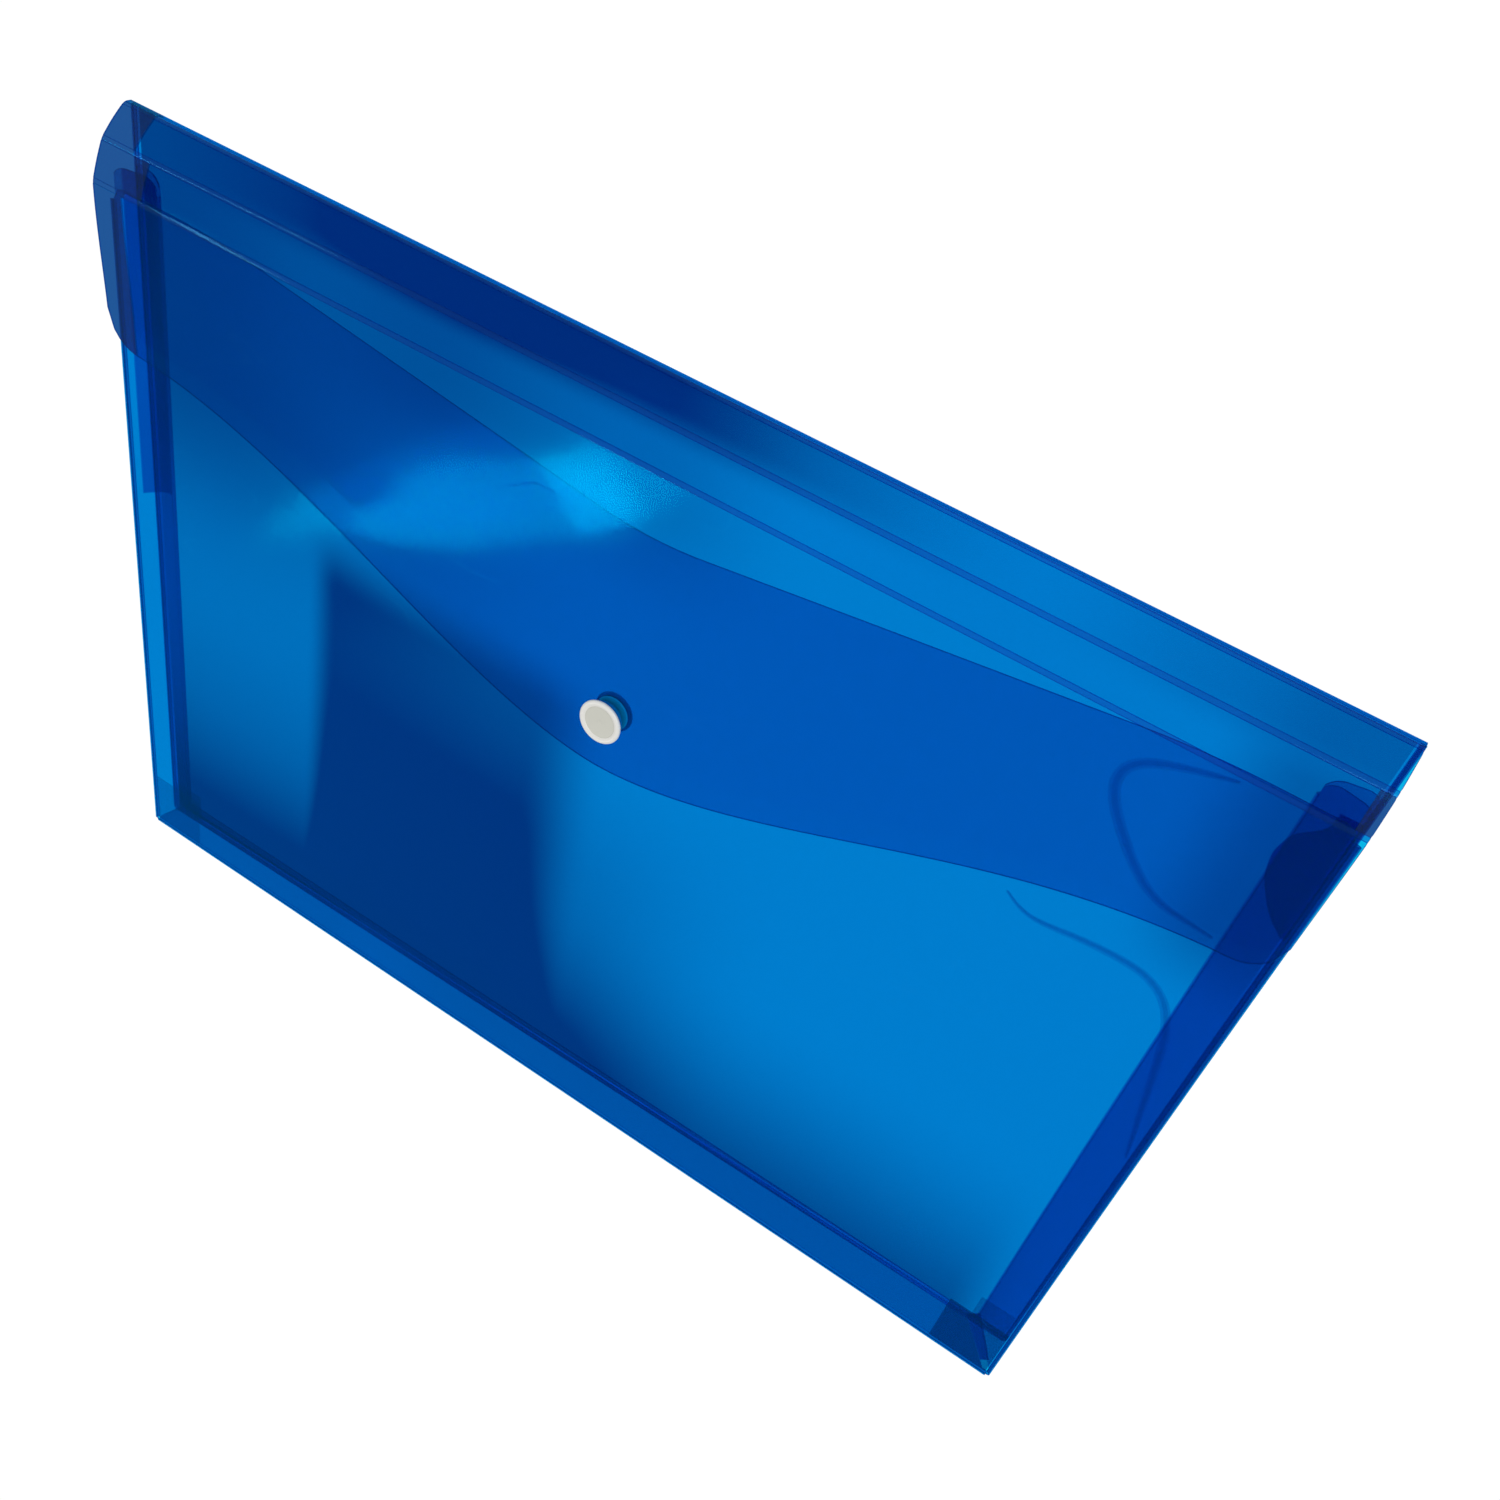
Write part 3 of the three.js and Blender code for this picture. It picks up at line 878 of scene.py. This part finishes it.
# %% Gusset creases
def edge_curve(front, more):
    """The U from a panel into its leaf, as (inward, z)."""
    ahead, behind = leaf_point(1.0, front, more), leaf_point(0.8, front, more)
    panel = front_level + more if front else film / 2
    return bend((lip, panel), (-1, 0), behind, unit(np.subtract(behind, ahead)), 1.6)


def inner_curve(more):
    """The V between two leaves, as (inward, z)."""
    u = leaf_width - 0.6
    rear, front = leaf_point(u, False, more), leaf_point(u, True, more)
    rear_way = unit(np.subtract(rear, leaf_point(u - 1, False, more)))
    front_way = unit(np.subtract(front, leaf_point(u - 1, True, more)))
    return bend(rear, rear_way, front, front_way, 0.75)


def rear_edge_at(x, y):
    return edge_curve(False, opening(x, y))


def front_edge_at(x, y):
    return edge_curve(True, opening(x, y))


def inner_crease_at(x, y):
    return inner_curve(opening(x, y))


def side_edges(side, where, front_opens):
    leaf = f"{where}_gusset_rear_leaf", f"{where}_gusset_front_leaf"
    rear, front, inner = edge_curve(False, 0), edge_curve(True, 0), inner_curve(0)
    edge, low = side * half, foot + lip
    name = f"{where}_edge_rear"
    piece = crease_along_y(name, side, rear_edge_at, low, head - lip, film_fold)
    hinge(piece, "back", leaf[0])
    name = f"{where}_edge_front"
    piece = crease_along_y(name, side, front_edge_at, low, mouth - corner, film_fold)
    if front_opens:
        hinge(piece, leaf[1], "front")
    else:
        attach(piece, "front")
    start = foot + mitre + inner[:, 0] + crease_cut
    name = f"{where}_crease_inner"
    piece = crease_along_y(name, side, inner_crease_at, start, tab_top - tab_radius, film_inner)
    hinge(piece, leaf[0], leaf[1])


side_edges(-1, "left", True)
side_edges(1, "right", False)


def bottom_edges():
    def upward(curve_at):
        return lambda x: curve_at(x, foot) + np.array([foot, 0])

    rear, inner = edge_curve(False, 0), inner_curve(0)
    leaf = "bottom_gusset_rear_leaf", "bottom_gusset_front_leaf"
    piece = crease_along_x("bottom_edge_rear", upward(rear_edge_at), half - lip, film_fold)
    hinge(piece, "back", leaf[0])
    piece = crease_along_x("bottom_edge_front", upward(front_edge_at), half - lip, film_fold)
    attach(piece, "front")
    ends = half - mitre - crease_cut - inner[:, 0]
    piece = crease_along_x("bottom_crease_inner", upward(inner_crease_at), ends, film_inner)
    hinge(piece, leaf[0], leaf[1])


bottom_edges()

# %% [markdown]
# ## Welded gusset ends and corner webs
#
# The ends of the bottom gusset are pressed flat into the corners and welded to the panels.
# Where they lie, the film is one layer thicker, so the corners look darker. Between the two
# mitred front leaves the film runs on as a small web, which turns with the side leaf.

# %% Welded gusset ends
front_weld, rear_weld, weld_gap = 22.0, 13.5, 0.1


def welded_end(side, front):
    width = front_weld if front else rear_weld
    steps = spread(1.4, width, 9)
    u, v = np.meshgrid(steps, steps, indexing="ij")
    x, y = side * (half - u), foot + v
    if front:
        z = front_level - film / 2 - weld_gap + front_bow(x, y)
    else:
        z = np.full_like(x, film + weld_gap)
    name = f"welded_end_{'left' if side < 0 else 'right'}_{'front' if front else 'rear'}"
    kind = film_double if front and side > 0 else film_weld
    piece = sheet_of_film(name, np.stack([x, y, z], axis=2), 0.12, kind, ALL_SIDES)
    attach(piece, "front" if front else "back")


def corner_web(side):
    """Closes the wedge that opens between two mitred leaves when they stand at an angle."""
    gap, first = (wide_mitre, 2.4) if side > 0 else (mitre, 0.9)
    us = np.linspace(first, leaf_width - 0.4, 15)
    inward, z = leaf_point(us, True, opening(side * half, foot + us))
    beside = np.column_stack([side * (half - inward), foot + gap + us, z])
    inward, z = leaf_point(us, True, opening(side * (half - us), foot))
    below = np.column_stack([side * (half - gap - us), foot + inward, z])
    t = np.linspace(-0.06, 1.04, 7) if side > 0 else np.linspace(-0.08, 1.08, 7)
    grid = beside[:, None] + (below - beside)[:, None] * t[None, :, None]
    grid[:, :, 2] -= 0.55
    where = "left" if side < 0 else "right"
    # The left web takes the leaves' darker film: painted shade.
    kind = film_wet if side > 0 else film_leaf_painted_shade
    piece = sheet_of_film(f"corner_web_{where}", grid, 0.2, kind, ALL_SIDES)
    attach(piece, f"{where}_gusset_front_leaf")


for side in (-1, 1):
    welded_end(side, False)
    welded_end(side, True)
    corner_web(side)
print("4 welded ends and 2 corner webs")

# %% [markdown]
# ## Where film clings to film
#
# Two glossy sheets that touch cling together. The air between them goes, and the patch looks
# darker, with a smooth outline: one shows in the right gusset, under the flap. Two winding dark
# lines, one under the flap and one on the front, are partly where a narrow ridge clings and partly
# the dark edge of a reflection, painted as darker film.

# %% Clinging patch and lines
def under_front(x, y):
    return front_level - film / 2 - 0.25 + front_bow(x, y)


def under_flap(x, y):
    return flap_level - film / 2 - 0.25 + flap_bow(x, y)


def clinging_patch(outline, right_end):
    """outline gives the left border as (x, y), from the top down."""
    xs, ys = np.array(outline).T
    y = np.linspace(ys[0], ys[-1], 49)
    left = np.interp(-y, -ys, xs)
    left = np.convolve(np.pad(left, 2, mode="edge"), np.ones(5) / 5, "valid")
    x = left[:, None] + (right_end - left)[:, None] * np.linspace(0, 1, 13)[None, :]
    y = np.repeat(y[:, None], 13, axis=1)
    grid = np.stack([x, y, under_front(x, y)], axis=2)
    piece = sheet_of_film("clinging_patch", grid, 0.2, film_wet, ALL_SIDES)
    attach(piece, "front")
    print("clinging patch in the right gusset,", round(ys[0] - ys[-1]), "mm long")


# A winding dark line: partly clinging film, partly a painted reflection edge.
def cling_and_reflection_line(name, trace, width, lower, level_at, body):
    trace = np.array(trace)
    run = np.concatenate([[0], np.cumsum(np.linalg.norm(np.diff(trace, axis=0), axis=1))])
    t = np.linspace(0, run[-1], 90)
    line = np.column_stack([np.interp(t, run, trace[:, k]) for k in (0, 1)])
    for _ in range(3):
        padded = np.pad(line, ((4, 4), (0, 0)), mode="reflect", reflect_type="odd")
        line = np.column_stack([np.convolve(padded[:, k], np.ones(9) / 9, "valid") for k in (0, 1)])
    ahead = np.gradient(line, axis=0)
    aside = np.column_stack([-ahead[:, 1], ahead[:, 0]])
    aside /= np.linalg.norm(ahead, axis=1, keepdims=True)
    taper = np.sqrt(np.sin(np.linspace(0.1, math.pi - 0.1, 90)))
    across = np.linspace(-1, 1, 5)
    reach = taper[:, None] * across[None, :] * width / 2
    flat = line[:, None] + aside[:, None] * reach[:, :, None]
    grid = np.dstack([flat, level_at(flat[:, :, 0], flat[:, :, 1]) - lower])
    piece = sheet_of_film(name, grid, 0.08, film_cling_and_reflection_edge, ALL_SIDES)
    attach(piece, body)
    print(f"{name}: {run[-1]:.0f} mm long")


patch_outline = [
    (173, 107), (172.5, 102), (167, 97.3), (165.5, 91.2),
    (166.6, 84.8), (170.1, 78.7), (174.5, 73.4), (178, 71.5),
]
clinging_patch(patch_outline, 178.4)
flap_trace = [
    (151.9, 105.6), (142.1, 103.1), (131.3, 99.2), (127.6, 94.8), (128.9, 88.0),
    (135.0, 79.7), (141.9, 71.7), (149.7, 65.9), (158.5, 65.6), (164.7, 64.8),
]
front_trace = [
    (117.3, 44.0), (122.7, 38.9), (129.9, 40.6), (138.8, 42.5), (148.9, 43.1), (155.9, 43.8),
    (162.7, 40.6), (167.6, 32.3), (170.8, 17.0), (173.9, 0.7), (177.0, -14.6),
]
for name, trace, wide, narrow, level_at, body in (
    ("clinging_line_flap", flap_trace, 3.0, 1.4, under_flap, "flap_panel"),
    ("clinging_line_front", front_trace, 2.6, 1.2, under_front, "front"),
):
    cling_and_reflection_line(name, trace, wide, 0.0, level_at, body)
    cling_and_reflection_line(name + "_core", trace, narrow, 0.12, level_at, body)

# %% [markdown]
# ## Press stud
#
# The stud is moulded in white plastic in four parts. The cap on the flap has a rounded rim
# round a shallow dish, and its prong goes down through the film into the socket. The stud and
# the rivet inside grip the front panel the same way. Turned parts are a profile swept round an
# axis, and rounding each profile corner gives the soft highlights of a moulding.

# %% White plastic
def white_plastic(name, pale, grey, roughness):
    material, nodes, links = new_material(name)
    uneven = nodes.new("ShaderNodeGroup")
    uneven.node_tree = unevenness
    uneven.inputs["Waves"].default_value = 0.3
    uneven.inputs["Scuffs"].default_value = 0.5
    uneven.inputs["Roughness"].default_value = roughness
    tone = nodes.new("ShaderNodeMix")
    tone.data_type = "RGBA"
    tone.inputs["A"].default_value = (*pale, 1)
    tone.inputs["B"].default_value = (*grey, 1)
    links.new(uneven.outputs["Mask"], tone.inputs["Factor"])
    bump = nodes.new("ShaderNodeBump")
    bump.inputs["Strength"].default_value = 0.1
    bump.inputs["Distance"].default_value = 0.0004
    links.new(uneven.outputs["Height"], bump.inputs["Height"])
    plastic = nodes.new("ShaderNodeBsdfPrincipled")
    links.new(tone.outputs["Result"], plastic.inputs["Base Color"])
    links.new(uneven.outputs["Roughness"], plastic.inputs["Roughness"])
    links.new(bump.outputs[0], plastic.inputs["Normal"])
    output = nodes.new("ShaderNodeOutputMaterial")
    links.new(plastic.outputs[0], output.inputs["Surface"])
    return material


stud_white = white_plastic("stud_white", (0.84, 0.83, 0.79), (0.7, 0.69, 0.64), 0.3)
# The dish's darker grey is painted shade; its higher roughness is the matt finish.
stud_dish_painted_shade = white_plastic("stud_dish_painted_shade", (0.63, 0.63, 0.56), (0.52, 0.52, 0.46), 0.45)

# %% Turned parts
def rounded(points, radius, steps=5):
    """Rounds each inner corner of a profile of (radius, height) points."""
    points = [np.array(p, dtype=float) for p in points]
    out = [points[0]]
    for before, here, after in zip(points, points[1:], points[2:]):
        reach = min(radius, np.linalg.norm(before - here) / 2.1, np.linalg.norm(after - here) / 2.1)
        a, b = here + unit(before - here) * reach, here + unit(after - here) * reach
        for t in np.linspace(0, 1, steps):
            out.append((1 - t) ** 2 * a + 2 * t * (1 - t) * here + t**2 * b)
    return out + [points[-1]]


def turned_part(name, profile, level, node, body, dish=0.0, steps=96):
    """Sweeps a profile round the stud's axis. Inside the radius dish its top is matt and a darker
    grey, which is painted shade.
    """
    mesh = bmesh.new()
    rings = []
    for radius, height in profile:
        if radius < 1e-6:
            rings.append([mesh.verts.new((0, stud_y * MM, (level + height) * MM))])
            continue
        ring = []
        for k in range(steps):
            turn = 2 * math.pi * k / steps
            x, y = radius * math.cos(turn), stud_y + radius * math.sin(turn)
            ring.append(mesh.verts.new((x * MM, y * MM, (level + height) * MM)))
        rings.append(ring)
    for lower, upper in zip(rings, rings[1:]):
        for k in range(steps):
            n = (k + 1) % steps
            if len(lower) == 1:
                mesh.faces.new((lower[0], upper[k], upper[n]))
            elif len(upper) == 1:
                mesh.faces.new((lower[k], upper[0], lower[n]))
            else:
                mesh.faces.new((lower[k], upper[k], upper[n], lower[n]))
    bmesh.ops.recalc_face_normals(mesh, faces=mesh.faces)
    data = bpy.data.meshes.new(name)
    mesh.to_mesh(data)
    mesh.free()
    data.polygons.foreach_set("use_smooth", [True] * len(data.polygons))
    data.materials.append(stud_white)
    data.materials.append(stud_dish_painted_shade)
    for face in data.polygons:
        out = math.hypot(face.center.x, face.center.y - stud_y * MM)
        face.material_index = int(face.normal.z > 0.5 and out < dish * MM)
    piece = bpy.data.objects.new(name, data)
    bpy.context.collection.objects.link(piece)
    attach(piece, body)
    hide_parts(node)
    print(f"{name}: {len(data.polygons)} faces")
    return piece


seat_gap, dish_radius = 0.1, 4.75
cap_foot = flap_level + film / 2 + seat_gap
stud_foot = front_level + film / 2 + seat_gap
rivet_foot = front_level - film / 2 - seat_gap
cap_profile = [
    (0, -1.1), (1.2, -1.1), (1.2, 0), (5.9, 0), (6.6, 0.5), (6.55, 1.15),
    (5.75, 1.6), (4.95, 1.25), (4.6, 0.95), (0.7, 0.95), (0.5, 0.85), (0, 0.85),
]
stud_profile = [
    (1.35, 0), (5.0, 0), (5.2, 0.2), (4.95, 0.6), (2.1, 0.6), (2.1, 0.9),
    (2.4, 1.2), (2.4, 1.4), (2.1, 1.6), (1.35, 1.6), (1.35, 0),
]
rivet_profile = [
    (0, -1.0), (4.2, -1.0), (5.6, -0.7), (6.0, -0.3), (6.0, 0), (1.2, 0), (1.2, 2.1), (0, 2.1),
]
cap = rounded(cap_profile, 0.45)
turned_part("stud_cap", cap, cap_foot, "popper_cap", "flap_panel", dish_radius)
turned_part("stud_base", rounded(stud_profile, 0.15, 4), stud_foot, "popper_stud", "front")
turned_part("stud_rivet", rounded(rivet_profile, 0.25, 4), rivet_foot, "popper_rivet", "front")
frame["nodes"]["popper_socket"].data.materials.clear()
frame["nodes"]["popper_socket"].data.materials.append(stud_white)

# %% [markdown]
# ## Finish
#
# Clear film needs many see-through bounces, because a ray may cross ten sheets with two faces each.

# %% Finish
cycles = bpy.context.scene.cycles
cycles.transparent_max_bounces = 48
cycles.max_bounces, cycles.diffuse_bounces, cycles.glossy_bounces = 4, 1, 2
